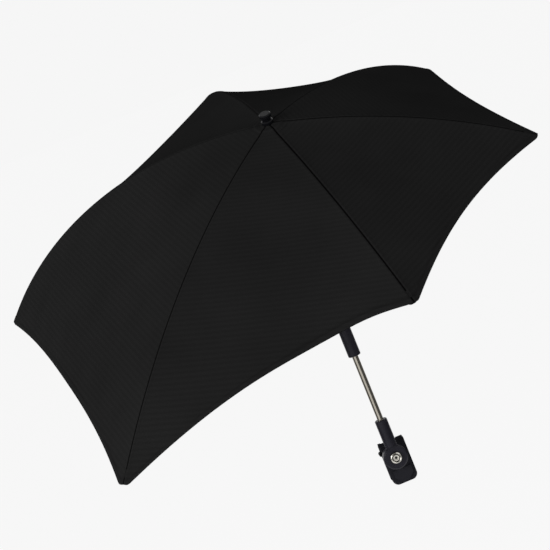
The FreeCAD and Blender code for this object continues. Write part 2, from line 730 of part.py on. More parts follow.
def rivet_piece(i):
    """Rivet through the bracket and the stretcher's eye."""
    edge = "bracket_wide / 2 + fit"
    far = edge + " + rivet_head_tall"
    shank, head = "rivet_dia / 2", "rivet_head_dia / 2"
    back = "-bracket_wide / 2 - fit"
    rivet = turn_profile([
        ("0", back + " - rivet_head_tall"), (shank, back + " - rivet_head_tall"), (head, back),
        (shank, back), (shank, edge), (head, edge), (shank, far), ("0", far)])
    joint = Vector(SIZES["joint_r"], 0, -SIZES["joint_drop"])
    finish(rivet, "rivet_%d" % (i + 1), rib_plane(i).multiply(Placement(joint, AXES["y"])))


def tip_piece(i):
    """Round-ended shoe on the rib's end, with the rib's own roof under the fabric."""
    name = "rib%d_" % (i + 1)
    shell = fuse([
        cylinder("tip_dia / 2", "tip_hold", ("-tip_hold", "0", "0"), "x"),
        place_ball("0")])
    pocket = box("tip_hold + over", "rib_wide + 4 * fit", "rib_thick + tip_dia",
                 ("-tip_hold - over", "-rib_wide / 2 - 2 * fit", "-rib_thick / 2 - 2 * fit"))
    crest, edge = "(rib_wide / 2 - rib_bevel)", "(tip_dia / 2 + over)"
    eave = "rib_thick / 2 + %s - %s" % (crest, edge)
    roof = new_body()
    pad(roof, "YZ_Plane",
        [("-" + edge, "-" + edge), (edge, "-" + edge), (edge, eave), (crest, "rib_thick / 2"),
         ("-" + crest, "rib_thick / 2"), ("-" + edge, eave)],
        "tip_hold + tip_dia + over", "-tip_hold - over")
    angle = math.radians(RIB_SLOPES[i] + SIZES[name + "turn"])
    bend = SIZES[name + "bend"]
    end = Vector(SIZES[name + "centre_r"] + bend * math.sin(angle), 0,
                 SIZES[name + "centre_z"] + bend * math.cos(angle))
    swing = Rotation(Vector(0, 1, 0), math.degrees(angle))
    seat = Placement(end + swing.multVec(Vector(SIZES["fit"], 0, 0)), swing)
    shoe = cut(common([shell, roof]), [pocket])
    finish(shoe, "rib_tip_%d" % (i + 1), rib_plane(i).multiply(seat))


def place_ball(along):
    ball = doc.addObject("Part::Sphere", "Ball")
    bind(ball, "Radius", "tip_dia / 2")
    return place(ball, (along, "0", "0"))


def ridge_point(i, share):
    """Point on top of the fabric over rib i, from the patch (0) to just past the tip (1)."""
    name = "rib%d_" % (i + 1)
    radius = (SIZES[name + "bend"] + SIZES["rib_thick"] / 2 + SIZES["cloth_gap"]
              + SIZES["cloth_thick"])
    first = math.asin((SIZES["cloth_start"] - SIZES[name + "centre_r"]) / radius)
    past = (SIZES["tip_dia"] / 2 + 2 * SIZES["free"]) / SIZES[name + "bend"]
    last = math.radians(RIB_SLOPES[i] + SIZES[name + "turn"]) + past
    angle = first + (last - first) * share
    reach = SIZES[name + "centre_r"] + radius * math.sin(angle)
    turn = math.radians(RIB_TURNS[i])
    return Vector(reach * math.cos(turn), reach * math.sin(turn),
                  SIZES[name + "centre_z"] + radius * math.cos(angle))


def gore_point(i, j, side, row):
    """Fabric point from rib i (side 0) towards rib j, with the hem drawn in between."""
    gore = i if j == (i + 1) % len(RIB_TURNS) else j
    share = row * (1 - HEM_SHARES[gore] * 4 * side * (1 - side))
    a, b = ridge_point(i, share), ridge_point(j, share)
    return a + (b - a) * side


def cloth_line(i, j, side):
    """Curve down the fabric at one share of the way from rib i to rib j."""
    points = [gore_point(i, j, side, row) for row in CLOTH_ROW_SHARES]
    if side == CLOTH_SIDE_SHARES[-1]:
        ridge = [ridge_point(i, row) for row in CLOTH_ROW_SHARES]
        for k, point in enumerate(points):
            points[k] = point + (ridge[k] - point).normalize() * SIZES["cloth_seam"]
    curve = Part.BSplineCurve()
    curve.interpolate(points)
    return curve.toShape()


def canopy_panel(i):
    """Fabric over one rib, from mid-gore to mid-gore, sewn to the rib at its ridge."""
    count = len(RIB_TURNS)
    drop = Vector(0, 0, -SIZES["cloth_thick"])
    ridge = cloth_line(i, (i + 1) % count, 0)
    strips = []
    for j in ((i + 1) % count, (i - 1) % count):
        lines = [ridge] + [cloth_line(i, j, side) for side in CLOTH_SIDE_SHARES[1:]]
        for near, far in zip(lines, lines[1:]):
            strips.append(Part.makeRuledSurface(near, far).extrude(drop))
    panel = doc.addObject("Part::Feature", "Panel")
    panel.Shape = strips[0].fuse(strips[1:])
    finish(panel, "canopy_panel_%d" % (i + 1), CROWN)


def export():
    """Checks every object and writes one STEP file per sub-part."""
    doc.recompute()
    for obj in doc.Objects:
        if "Invalid" in obj.State or "Error" in obj.State:
            raise RuntimeError("not built: %s, %s" % (obj.Label, obj.getStatusString()))
    os.makedirs("parts", exist_ok=True)
    for obj in finished:
        shape = obj.Shape
        if shape.isNull() or not shape.isValid() or not shape.Solids:
            raise RuntimeError("bad shape: " + obj.Label)
        shape.exportStep("parts/%s.step" % obj.Label)
        print("%-18s solids %d volume %.1f" % (obj.Label, len(shape.Solids), shape.Volume))


clamp_body()
clamp_jaw()
clamp_hardware()
swivel_hardware()
swivel_socket()
lower_shaft()
knuckle()
neck_pieces()
crown_hub()
runner()
for rib in RIBS:
    rib_piece(rib)
    stretcher_piece(rib)
    rivet_piece(rib)
    tip_piece(rib)
    canopy_panel(rib)
export()
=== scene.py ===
import json
import math
from collections import namedtuple

import bmesh
import bpy
from mathutils import Matrix, Vector


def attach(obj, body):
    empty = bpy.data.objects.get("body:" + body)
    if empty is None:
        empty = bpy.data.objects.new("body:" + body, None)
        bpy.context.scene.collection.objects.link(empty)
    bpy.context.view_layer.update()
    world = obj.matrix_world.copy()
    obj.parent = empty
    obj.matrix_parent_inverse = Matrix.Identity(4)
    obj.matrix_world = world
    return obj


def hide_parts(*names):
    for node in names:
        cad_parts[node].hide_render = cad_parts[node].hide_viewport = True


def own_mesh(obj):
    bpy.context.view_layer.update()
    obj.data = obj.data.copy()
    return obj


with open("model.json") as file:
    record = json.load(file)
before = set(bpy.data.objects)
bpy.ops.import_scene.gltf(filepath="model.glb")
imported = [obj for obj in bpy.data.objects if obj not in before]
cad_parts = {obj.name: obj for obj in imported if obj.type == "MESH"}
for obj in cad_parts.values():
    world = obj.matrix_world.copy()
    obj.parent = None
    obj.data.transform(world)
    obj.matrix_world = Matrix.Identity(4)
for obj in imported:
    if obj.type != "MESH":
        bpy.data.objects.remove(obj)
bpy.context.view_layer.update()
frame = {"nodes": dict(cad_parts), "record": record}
JOINTS = {joint["name"]: joint for joint in frame["record"]["behaviour"]["joints"]}

# Lengths are in metres and angles in degrees. Lists run over the six ribs, or over the six gores:
# gore k is the cloth from rib k to the next one. A ridge is the line of the cloth over a rib.

# Canopy frame, as in the part's source: slope of each rib at the hub, and reach and drop of its
# tip as shares of CANOPY_R
CANOPY_R = 0.380
HINGE_R = 0.012
HINGE_DROP = 0.0046
HUB_R = 0.016
HUB_TOP = 0.0018
RIB_THICK = 0.0034
RIB_SLOPES = [0.7, 2.9, 9.9, 5.9, 3.1, 3.5]
RIB_REACH_SHARES = [1.09, 1.182, 0.824, 0.779, 0.807, 1.005]
RIB_DROP_SHARES = [0.55, 0.409, 0.267, 0.248, 0.32, 0.359]
COUNT = len(RIB_SLOPES)

# Cloth on the ribs: gap, thickness, where it starts from the shaft's axis, overhang at the tips
CLOTH_GAP = 0.00025
CLOTH_THICK = 0.0009
CLOTH_START = 0.0200
TIP_PAST = 0.0036

# Gores: hollow of the inner edge and of the hem as shares of the ridges, power of the hem's
# curve, a further tuck near the end of a gore, and sag between the ribs
START_HOLLOWS = [0.0125, 0.0125, 0.02, 0.0125, 0.0125, 0.0125]
HEM_SHARES = [0.051, 0.077, 0.075, 0.078, 0.05, 0.1]
HEM_POWERS = [2.6, 2.0, 2.0, 2.0, 2.0, 2.0]
HEM_TUCKS = [0.0, 0.019, 0.0, 0.0, 0.0, 0.0]
TUCK_AT = 0.89
TUCK_WIDE = 0.16
GORE_SAGS = [0.007, 0.0015, 0.005, 0.0015, 0.012, 0.0054]
SAG_REACH = 0.93

# Corners: how far the hem's own line would run past a tip, and the rounding where the blunt end
# cuts that line, as shares of the ridges
CORNER_SHARES = [0.0098, 0.0162, 0.0167, 0.0121, 0.0143, 0.0048]
CORNER_ROUNDS = [0.007, 0.007, 0.007, 0.007, 0.007, 0.003]
BEFORE_TIP = 0.99

# Share of its width that each half of the cloth would keep when the canopy is closed: as much as
# its neighbours and the hub leave room for. Nothing here uses these shares.
LEFT_KEEPS = [0.12, 0.22, 0.14, 0.36, 0.14, 0.14]
RIGHT_KEEPS = [0.12, 0.4, 0.16, 0.4, 0.4, 0.36]

# Sewing: groove of the seam over a rib with painted shade in it, darker on some seams than on
# others, puffed cloth beside it, folded hem with its darker line of stitches
SEAM_HALF = 0.0013
SEAM_DEEP = 0.0007
SEAM_SHADES = [0.3, 0.9, 1.0, 0.8, 0.8, 0.3]
SEAM_SHADE_FILL = 1.2
PUFF_OUT = 0.0052
PUFF_RISE = 0.0003
HEM_WIDE = 0.0075
HEM_EXTRA = 0.0004
HEM_STEP = 0.0012
STITCH_WIDE = 0.0016
STITCH_TONE = 0.2

# Grid of the cloth: columns by their distance from the seam, in the near third of a half at most,
# then even ones, and rows as shares of the way down, closer together at the hem
NEAR_COLUMNS = [0.0, 0.0005, 0.0010, 0.0014, 0.0022, 0.0034, 0.0046, 0.0058, 0.0070, 0.0082,
                0.0096, 0.0115, 0.0145]
NEAR_PART = 3
FAR_COLUMNS = 16
ROWS = 54
HEM_START = 0.974
HEM_ROWS = [0.9765, 0.9785, 0.981, 0.986, 0.992, 0.997, 1.0]

# Normals of the cloth: the ridge's own near the seam, else by small steps on the gore
RIDGE_BLEND = 0.004
NORMAL_STEP = 0.004
NORMAL_SIDE = 0.01
CLOTH_CREASE = 50

# Pockets under the corners: length, rounding of the nose, half width, depth, length of the mouth
POCKET_LONG = 0.0165
POCKET_ROUND = 0.005
POCKET_HALF = 0.0064
POCKET_LOW = 0.0062
POCKET_MOUTH = 0.010
NOSE_POWER = 2.4
DEPTH_POWER = 3
BELLY_POWER = 0.8
POCKET_ROWS = 26
POCKET_COLUMNS = 14
POCKET_WELD = 0.00002
POCKET_CREASE = 70

# Crown patch: its ring, how it lies on the cloth and the hub, and its rise under the finial
PATCH_INNER = 0.0046
PATCH_R = 0.0238
PATCH_THICK = 0.0004
PATCH_RINGS = 22
PATCH_SIDES = [0.0, 0.02, 0.045, 0.08, 0.14, 0.22, 0.32, 0.42, 0.5]
PATCH_RELIEF = 0.6
CLOTH_LIFT = 0.00016
HUB_LIFT = 0.00022
HUB_EDGE = 0.0004
HUB_FALL = 0.55
FINIAL_RISE = 0.0007
FINIAL_REACH = 0.010
FINIAL_SLOPE = 0.004
LIFT_ROUND = 1e-7
NO_HEM = 1.0

# Weave: scales of its layers, weight of the warp, and the range of tone that each layer gives
WARP_SCALE = 260.0
WEFT_SCALE = 210.0
COURSE_SCALE = 52.0
SLUB_SCALE = 900.0
CLOUD_SCALE = 9.0
WARP_WEIGHT = 0.85
SLUB_WEIGHT = 0.35
WEAVE_TONES = (0.84, 1.12)
COURSE_TONES = (0.94, 1.06)
NOISE_TONES = (0.9, 1.1)
TONE_ROOM = 1.6
NOISE_SPAN = (0.3, 0.7)
NOISE_ROUGH = 0.55

# Swivel screw: radius of its head, and tone by share of the radius, with painted shade in the
# hexagon socket, in the ring groove and round the outer edge
SCREW_HEAD_R = 0.0074
SCREW_SHADE_STOPS = [(0.0, 0.03), (0.22, 0.03), (0.27, 0.85), (0.48, 0.9), (0.54, 0.06), (0.66, 0.05),
               (0.73, 1.0), (0.92, 1.0), (0.97, 0.12)]

# Room: backdrop, floor at the height of the ground under a pram's handle, light from all sides,
# and lower and upper edge of the dark cards
BACKDROP = (246, 246, 246)
FLOOR_REACH = 60.0
GROUND = -0.95
FLOOR_SEEN = 0.9
FLOOR_TONE = 0.86
ROOM_LIGHT = 0.3
FLAG_LOW, FLAG_HIGH = -0.7, 0.45

# Camera, from the photograph's fit
CAM_SIDE = -2.22
CAM_RAISE = 7.72
CAM_ROLL = -22.15
CAM_DISTANCE = 2.3202
CAM_LENS = 120.88
CAM_SENSOR = 36.0
CAM_FAR = 200.0
AIM_RIGHT = -0.0795
AIM_UP = 0.0501

WHITE = (1.0, 1.0, 1.0, 1.0)
BLACK = (0.0, 0.0, 0.0, 1.0)

scene = bpy.context.scene
scene.view_settings.view_transform = "Standard"


def linear(*rgb):
    """Linear colour of an sRGB one given as 0 to 255."""
    out = []
    for value in rgb:
        share = value / 255
        out.append(share / 12.92 if share <= 0.04045 else ((share + 0.055) / 1.055) ** 2.4)
    return tuple(out) + (1.0,)


def tint(base, factor, lift=0.0):
    """A colour made lighter or darker."""
    return tuple(factor * part + lift for part in base[:3]) + (1.0,)


class Material:
    """A node material: small helpers around one Principled shader."""

    def __init__(self, name, **settings):
        self.material = bpy.data.materials.new(name)
        self.material.use_nodes = True
        self.tree = self.material.node_tree
        self.shader = self.tree.nodes["Principled BSDF"]
        for key, value in settings.items():
            self.shader.inputs[key.replace("_", " ")].default_value = value

    def node(self, kind, **settings):
        made = self.tree.nodes.new(kind)
        for key, value in settings.items():
            setattr(made, key, value)
        return made

    def link(self, out, to):
        self.tree.links.new(out, to)

    def feed(self, value, to):
        """Set an input from a node's output, or to a plain value."""
        if isinstance(value, (int, float, tuple)):
            to.default_value = value
        else:
            self.link(value, to)

    def place(self, kind="Object", scale=(1, 1, 1)):
        mapping = self.node("ShaderNodeMapping")
        mapping.inputs["Scale"].default_value = scale
        self.link(self.node("ShaderNodeTexCoord").outputs[kind], mapping.inputs["Vector"])
        return mapping.outputs["Vector"]

    def noise(self, vector, scale, detail):
        made = self.node("ShaderNodeTexNoise")
        made.inputs["Scale"].default_value = scale
        made.inputs["Detail"].default_value = detail
        made.inputs["Roughness"].default_value = NOISE_ROUGH
        self.link(vector, made.inputs["Vector"])
        return made.outputs["Fac"]

    def wave(self, vector, scale, direction):
        made = self.node("ShaderNodeTexWave", bands_direction=direction, wave_profile="SIN")
        made.inputs["Scale"].default_value = scale
        made.inputs["Distortion"].default_value = 0.0
        self.link(vector, made.inputs["Vector"])
        return made.outputs["Fac"]

    def math(self, operation, *values):
        made = self.node("ShaderNodeMath", operation=operation)
        for value, to in zip(values, made.inputs):
            self.feed(value, to)
        return made.outputs[0]

    def ramp(self, factor, low, high, start=0.0, end=1.0):
        made = self.node("ShaderNodeMapRange")
        made.inputs["From Min"].default_value = start
        made.inputs["From Max"].default_value = end
        made.inputs["To Min"].default_value = low
        made.inputs["To Max"].default_value = high
        self.link(factor, made.inputs["Value"])
        return made.outputs["Result"]

    def blend(self, factor, first, second):
        made = self.node("ShaderNodeMix", data_type="RGBA")
        self.link(factor, made.inputs[0])
        self.feed(first, made.inputs[6])
        self.feed(second, made.inputs[7])
        return made.outputs[2]

    def colour(self, value):
        self.link(value, self.shader.inputs["Base Color"])

    def rough(self, value):
        self.link(value, self.shader.inputs["Roughness"])

    def bump(self, height, distance, strength):
        made = self.node("ShaderNodeBump")
        made.inputs["Strength"].default_value = strength
        made.inputs["Distance"].default_value = distance
        self.link(height, made.inputs["Height"])
        self.link(made.outputs["Normal"], self.shader.inputs["Normal"])


def fabric_material(name, base, seam):
    """Plain-woven polyester: warp and weft from the cloth's own flat coordinates, with painted
    shade in the seams' grooves.
    """
    made = Material(name, Roughness=0.9, Specular_IOR_Level=0.0)
    flat = made.place("UV")
    warp = made.wave(flat, WARP_SCALE, "X")
    weft = made.wave(flat, WEFT_SCALE, "Y")
    weave = made.math("MAXIMUM", made.math("MULTIPLY", warp, WARP_WEIGHT), weft)
    courses = made.wave(flat, COURSE_SCALE, "Y")
    slub = made.noise(flat, SLUB_SCALE, detail=2.0)
    clouds = made.noise(made.place("Object"), CLOUD_SCALE, detail=3.0)
    tone = made.math("MULTIPLY", made.ramp(weave, *WEAVE_TONES),
                     made.ramp(clouds, *NOISE_TONES, *NOISE_SPAN))
    tone = made.math("MULTIPLY", tone, made.ramp(slub, *NOISE_TONES, *NOISE_SPAN))
    tone = made.math("MULTIPLY", tone, made.ramp(courses, *COURSE_TONES))
    plain = made.blend(made.ramp(tone, low=0.0, high=1.0, start=0.0, end=TONE_ROOM),
                       BLACK, tint(base, TONE_ROOM))
    # Painted shade in the seams' grooves, and the hem's darker stitch line
    seam_shade_and_stitches = made.node("ShaderNodeAttribute", attribute_name="seam_shade_and_stitches").outputs["Fac"]
    made.colour(made.blend(seam_shade_and_stitches, plain, seam))
    made.rough(made.ramp(weave, low=0.95, high=0.8))
    height = made.math("ADD", weave, made.math("MULTIPLY", slub, SLUB_WEIGHT))
    made.bump(height, distance=0.00012, strength=0.7)
    return made.material


def plastic_material(name, base, rough, grain=0.00004, wear=1.3, shine=0.02):
    """Moulded plastic: fine spark texture and slightly paler handled edges."""
    made = Material(name, Roughness=rough, Specular_IOR_Level=shine)
    place = made.place("Object")
    sparks = made.noise(place, scale=2600.0, detail=2.0)
    clouds = made.noise(place, scale=55.0, detail=4.0)
    worn = made.node("ShaderNodeNewGeometry").outputs["Pointiness"]
    edges = made.ramp(worn, low=0.0, high=1.0, start=0.52, end=0.6)
    handled = made.ramp(clouds, low=0.0, high=0.55, start=0.35, end=0.75)
    plain = made.blend(handled, base, tint(base, wear, lift=0.004))
    made.colour(made.blend(edges, plain, tint(base, factor=1.2, lift=0.001)))
    made.rough(made.ramp(clouds, rough - 0.06, rough + 0.08, *NOISE_SPAN))
    made.bump(sparks, distance=grain, strength=0.6)
    return made.material


def metal_material(name, base, rough, drawn):
    """Drawn metal: fine lines along the piece and a little staining."""
    made = Material(name, Metallic=1.0, Roughness=rough)
    lines = made.noise(made.place("Object", drawn), scale=1400.0, detail=3.0)
    clouds = made.noise(made.place("Object"), scale=40.0, detail=4.0)
    stains = made.ramp(clouds, low=0.0, high=0.7, start=0.42, end=0.8)
    made.colour(made.blend(stains, base, tint(base, factor=0.72)))
    made.rough(made.ramp(lines, rough - 0.05, rough + 0.09, *NOISE_SPAN))
    made.bump(lines, distance=0.00001, strength=0.5)
    return made.material


def screw_material(name, base, rough):
    """Plated screw: bright rim, and painted shade in the ring groove, in the hexagon socket and
    round the outer edge.
    """
    made = Material(name, Metallic=1.0, Roughness=rough)
    split = made.node("ShaderNodeSeparateXYZ")
    made.link(made.place("Object"), split.inputs[0])
    right = split.outputs[0]
    up = made.math("SUBTRACT", split.outputs[2], JOINTS["swivel"]["pos_m"][2])
    square = made.math("ADD", made.math("MULTIPLY", right, right),
                       made.math("MULTIPLY", up, up))
    reach = made.math("DIVIDE", made.math("SQRT", square), SCREW_HEAD_R)
    # Tone by radius: painted shade in the socket, the groove and round the edge
    ramp = made.node("ShaderNodeValToRGB")
    elements = ramp.color_ramp.elements
    while len(elements) < len(SCREW_SHADE_STOPS):
        elements.new(0.5)
    for element, (place, tone) in zip(elements, SCREW_SHADE_STOPS):
        element.position = place
        element.color = tint(base, tone)
    made.link(reach, ramp.inputs["Fac"])
    made.colour(ramp.outputs["Color"])
    spots = made.noise(made.place("Object"), scale=900.0, detail=3.0)
    made.rough(made.ramp(spots, rough, rough + 0.1, *NOISE_SPAN))
    made.bump(spots, distance=0.000006, strength=0.5)
    return made.material


# The second colour is painted shade, laid in the seams' grooves
FABRIC = fabric_material("canopy_fabric", linear(32, 32, 32), linear(7, 7, 7))
PLASTIC = plastic_material("black_plastic", linear(26, 25, 33), 0.38, shine=0.18)
CLAMP = plastic_material("clamp_plastic", linear(36, 36, 40), 0.6, shine=0.0)
# Clamp jaw: a darker copy of the clamp's plastic, painted shade for its faces behind the plate
SHADED_JAW = plastic_material("jaw_plastic_painted_shade", linear(11, 11, 13), 0.6, wear=1.1, shine=0.01)
FINIAL = plastic_material("finial_plastic", linear(13, 13, 16), 0.2, wear=1.1, shine=0.07)
RUBBER = plastic_material("pad_rubber", linear(30, 30, 30), 0.75, grain=0.00012, wear=1.1)
WASHER = plastic_material("washer_fibre", linear(52, 48, 44), 0.7, grain=0.00008, wear=1.2)
STEEL = metal_material("shaft_steel", linear(186, 180, 168), 0.15, drawn=(1, 1, 0.02))
CHROME = screw_material("screw_chrome", linear(236, 233, 224), 0.3)
FIBRE = plastic_material("rib_fibreglass", linear(34, 34, 36), 0.4, grain=0.00003, wear=1.15,
                         shine=0.2)

# Material of a CAD node by how its name starts; the first line that fits holds
FINISHES = [
    (("knuckle_pin",), STEEL),
    (("rib_tip", "swivel_socket", "knuckle", "crown_hub", "runner"), PLASTIC),
    (("clamp_body",), CLAMP),
    (("clamp_jaw",), SHADED_JAW),
    (("finial",), FINIAL),
    (("clamp_pad",), RUBBER),
    (("swivel_washer",), WASHER),
    (("swivel_screw",), CHROME),
    (("rib_", "stretcher"), FIBRE),
    (("canopy", "crown_patch"), FABRIC),
    (("",), STEEL),
]

for name, node in frame["nodes"].items():
    node.data.materials.clear()
    node.data.materials.append(next(made for starts, made in FINISHES if name.startswith(starts)))

# The ribs' hinges and axes say where each rib's plane is
AXIS = Vector(JOINTS["runner_slide"]["axis"]).normalized()
SIDES = [Vector(JOINTS["rib_%d_hinge" % (k + 1)]["axis"]).normalized() for k in range(COUNT)]
OUTS = [side.cross(AXIS).normalized() for side in SIDES]
CROWN = Vector(JOINTS["rib_1_hinge"]["pos_m"]) - OUTS[0] * HINGE_R + AXIS * HINGE_DROP

Arc = namedtuple("Arc", "centre_r centre_z radius first last")


def rib_arc(i):
    """Centre, radius and first and last angle, in radians, of the cloth's ridge over rib i."""
    run = CANOPY_R * RIB_REACH_SHARES[i] - HINGE_R
    fall = CANOPY_R * RIB_DROP_SHARES[i] - HINGE_DROP
    slope = math.radians(RIB_SLOPES[i])
    turn = 2 * (math.atan2(fall, run) - slope)
    bend = math.hypot(run, fall) / (2 * math.sin(turn / 2))
    centre_r = HINGE_R - bend * math.sin(slope)
    centre_z = -HINGE_DROP - bend * math.cos(slope)
    radius = bend + RIB_THICK / 2 + CLOTH_GAP + CLOTH_THICK
    first = math.asin((CLOTH_START - centre_r) / radius)
    return Arc(centre_r, centre_z, radius, first, slope + turn + TIP_PAST / bend)


ARCS = [rib_arc(i) for i in range(COUNT)]


def share_at(i, reach):
    """Share along rib i's ridge at a distance from the shaft's axis."""
    arc = ARCS[i]
    return (math.asin((reach - arc.centre_r) / arc.radius) - arc.first) / (arc.last - arc.first)


def ridge(i, share):
    """Point of the ridge over rib i."""
    arc = ARCS[i]
    angle = arc.first + (arc.last - arc.first) * share
    return (CROWN + OUTS[i] * (arc.centre_r + arc.radius * math.sin(angle))
            + AXIS * (arc.centre_z + arc.radius * math.cos(angle)))


def ridge_normal(i, share):
    """Direction away from rib i at a point of its ridge."""
    arc = ARCS[i]
    angle = arc.first + (arc.last - arc.first) * share
    return OUTS[i] * math.sin(angle) + AXIS * math.cos(angle)


def ridge_length(i):
    return ARCS[i].radius * (ARCS[i].last - ARCS[i].first)


def square_cut(i, j):
    """How far the cloth's end runs on, per side share, to stay square to rib i."""
    inward = (ridge(i, BEFORE_TIP) - ridge(i, 1.0)).normalized()
    return (ridge(j, 1.0) - ridge(i, 1.0)).dot(inward) / ridge_length(i)


SQUARE_CUTS = {(i, j): square_cut(i, j) for i in range(COUNT)
               for j in ((i + 1) % COUNT, (i - 1) % COUNT)}


def soft_min(a, b, width):
    """The lower of two values, rounded off where they cross."""
    share = min(1.0, max(0.0, 0.5 + 0.5 * (b - a) / width))
    return b * (1 - share) + a * share - width * share * (1 - share)


def smooth(value):
    """Smooth step from 0 to 1."""
    value = min(1.0, max(0.0, value))
    return value * value * (3 - 2 * value)


def gore_between(i, j):
    """Number of the gore between two neighbouring ribs."""
    return i if j == (i + 1) % COUNT else j


def hem_line(i, j, side):
    """Share of the ridges where the cloth ends: a hollow hem with blunt, rounded corners."""
    which = gore_between(i, j)
    along = side if which == i else 1 - side
    line = (1 + CORNER_SHARES[i] * (1 - side) + CORNER_SHARES[j] * side
            - HEM_SHARES[which] * (1 - abs(2 * along - 1) ** HEM_POWERS[which])
            - HEM_TUCKS[which] * math.exp(-((along - TUCK_AT) / TUCK_WIDE) ** 2))
    line = soft_min(line, 1 + side * SQUARE_CUTS[i, j], CORNER_ROUNDS[i])
    return soft_min(line, 1 + (1 - side) * SQUARE_CUTS[j, i], CORNER_ROUNDS[j])


def gore(i, j, side, row):
    """Cloth point from rib i towards rib j, before sewing: a shallow saddle."""
    which = gore_between(i, j)
    start = START_HOLLOWS[which] * 4 * side * (1 - side)
    share = start + row * (hem_line(i, j, side) - start)
    a, b = ridge(i, share), ridge(j, share)
    sag = (GORE_SAGS[which] * 4 * side * (1 - side)
           * math.sin(math.pi * min(1.0, row * SAG_REACH)))
    return a + (b - a) * side - AXIS * sag


def gore_normal(i, j, side, row):
    """Direction out of the cloth at a point between rib i and rib j."""
    low, high = max(0.0, row - NORMAL_STEP), min(1.0, row + NORMAL_STEP)
    near, far = max(0.0, side - NORMAL_STEP), side + NORMAL_STEP
    along = gore(i, j, side, high) - gore(i, j, side, low)
    across = gore(i, j, far, row) - gore(i, j, near, row)
    normal = along.cross(across).normalized()
    return normal if normal.dot(AXIS) > 0 else -normal


def gore_flat(i, j):
    """Axes of the gore's own flat cut: down its middle, and across it."""
    middle = (gore(i, j, 0.5, 1.0) - CROWN).normalized()
    which = gore_between(i, j)
    across = ridge((which + 1) % COUNT, 1.0) - ridge(which, 1.0)
    across = (across - middle * across.dot(middle)).normalized()
    return middle, across


def sewing(distance, hem_distance, tone):
    """Rise of the cloth's top by the seam and the hem, and how dark the place is drawn: painted
    shade in the seam's groove, and the darker stitch line on the hem.
    """
    rise, seam_shade_and_stitches = 0.0, 0.0
    if distance < SEAM_HALF:
        share = 1 - (distance / SEAM_HALF) ** 2
        rise -= SEAM_DEEP * share
        # Painted shade in the seam's groove, darker for some seams than others
        seam_shade_and_stitches = tone * smooth(share * SEAM_SHADE_FILL)
    elif distance < PUFF_OUT:
        rise += PUFF_RISE * math.sin(math.pi * (distance - SEAM_HALF) / (PUFF_OUT - SEAM_HALF))
    if hem_distance < HEM_WIDE:
        rise += HEM_EXTRA * smooth((HEM_WIDE - hem_distance) / HEM_STEP)
        if hem_distance > HEM_WIDE - STITCH_WIDE:
            seam_shade_and_stitches = max(seam_shade_and_stitches, STITCH_TONE)
    return rise, seam_shade_and_stitches


class Cloth:
    """A piece of cloth in the making: vertices with flat places and the painted shade of seams
    and stitches, and faces.
    """

    def __init__(self, name):
        self.name = name
        self.work = bmesh.new()
        self.flat = self.work.loops.layers.uv.new("flat")
        self.seam_shade_and_stitches = self.work.verts.layers.float.new("seam_shade_and_stitches")
        self.places = {}

    def vertex(self, point, place, shade_and_stitches=0.0):
        made = self.work.verts.new(point)
        made[self.seam_shade_and_stitches] = shade_and_stitches
        self.places[made] = place
        return made

    def face(self, *corners):
        made = self.work.faces.new(corners)
        made.smooth = True
        for loop in made.loops:
            loop[self.flat].uv = self.places[loop.vert]

    def close(self, tops, lows):
        """Faces of a thin closed sheet between two grids of vertices."""
        tall, wide = len(tops) - 1, len(tops[0]) - 1
        for r in range(tall):
            for c in range(wide):
                self.face(tops[r][c], tops[r + 1][c], tops[r + 1][c + 1], tops[r][c + 1])
                self.face(lows[r][c], lows[r][c + 1], lows[r + 1][c + 1], lows[r + 1][c])
        for c in range(wide):
            self.face(tops[0][c], tops[0][c + 1], lows[0][c + 1], lows[0][c])
            self.face(tops[-1][c], lows[-1][c], lows[-1][c + 1], tops[-1][c + 1])
        for r in range(tall):
            self.face(tops[r][0], lows[r][0], lows[r + 1][0], tops[r + 1][0])
            self.face(tops[r][-1], tops[r + 1][-1], lows[r + 1][-1], lows[r][-1])

    def piece(self, crease, weld=0.0):
        """The finished object, sharp at edges that turn by more than the crease's angle."""
        if weld:
            bmesh.ops.remove_doubles(self.work, verts=self.work.verts, dist=weld)
        bmesh.ops.recalc_face_normals(self.work, faces=self.work.faces)
        mesh = bpy.data.meshes.new(self.name)
        self.work.to_mesh(mesh)
        self.work.free()
        mesh.set_sharp_from_angle(angle=math.radians(crease))
        mesh.materials.append(FABRIC)
        made = bpy.data.objects.new(self.name, mesh)
        scene.collection.objects.link(made)
        return made


def half_row(i, j, row):
    """One row of the cloth from rib i half-way to rib j: points raised by the sewing, flat
    places, and the painted shade of the seam with the stitch line.
    """
    width = (ridge(j, row) - ridge(i, row)).length
    half = width / 2
    squeeze = min(1.0, half / (NEAR_PART * NEAR_COLUMNS[-1]))
    near = [x * squeeze for x in NEAR_COLUMNS]
    far = [near[-1] + (half - near[-1]) * (k + 1) / FAR_COLUMNS for k in range(FAR_COLUMNS)]
    middle, across = gore_flat(i, j)
    entries = []
    for distance in near + far:
        side = distance / width
        point = gore(i, j, side, row)
        away = smooth(distance / RIDGE_BLEND)
        normal = (ridge_normal(i, row) * (1 - away)
                  + gore_normal(i, j, max(side, NORMAL_SIDE), row) * away).normalized()
        end = gore(i, j, side, 1.0)
        rise, seam_shade_and_stitches = sewing(distance, (end - point).length, SEAM_SHADES[i])
        offset = point - CROWN
        entries.append((point + normal * rise, point - normal * CLOTH_THICK,
                        (offset.dot(across), offset.dot(middle)), seam_shade_and_stitches))
    return entries


def grid_area(rows):
    """Area of a grid of points."""
    area = 0.0
    for upper, lower in zip(rows, rows[1:]):
        for c in range(len(upper) - 1):
            one, other = lower[c + 1] - upper[c], upper[c + 1] - lower[c]
            area += one.cross(other).length / 2
    return area


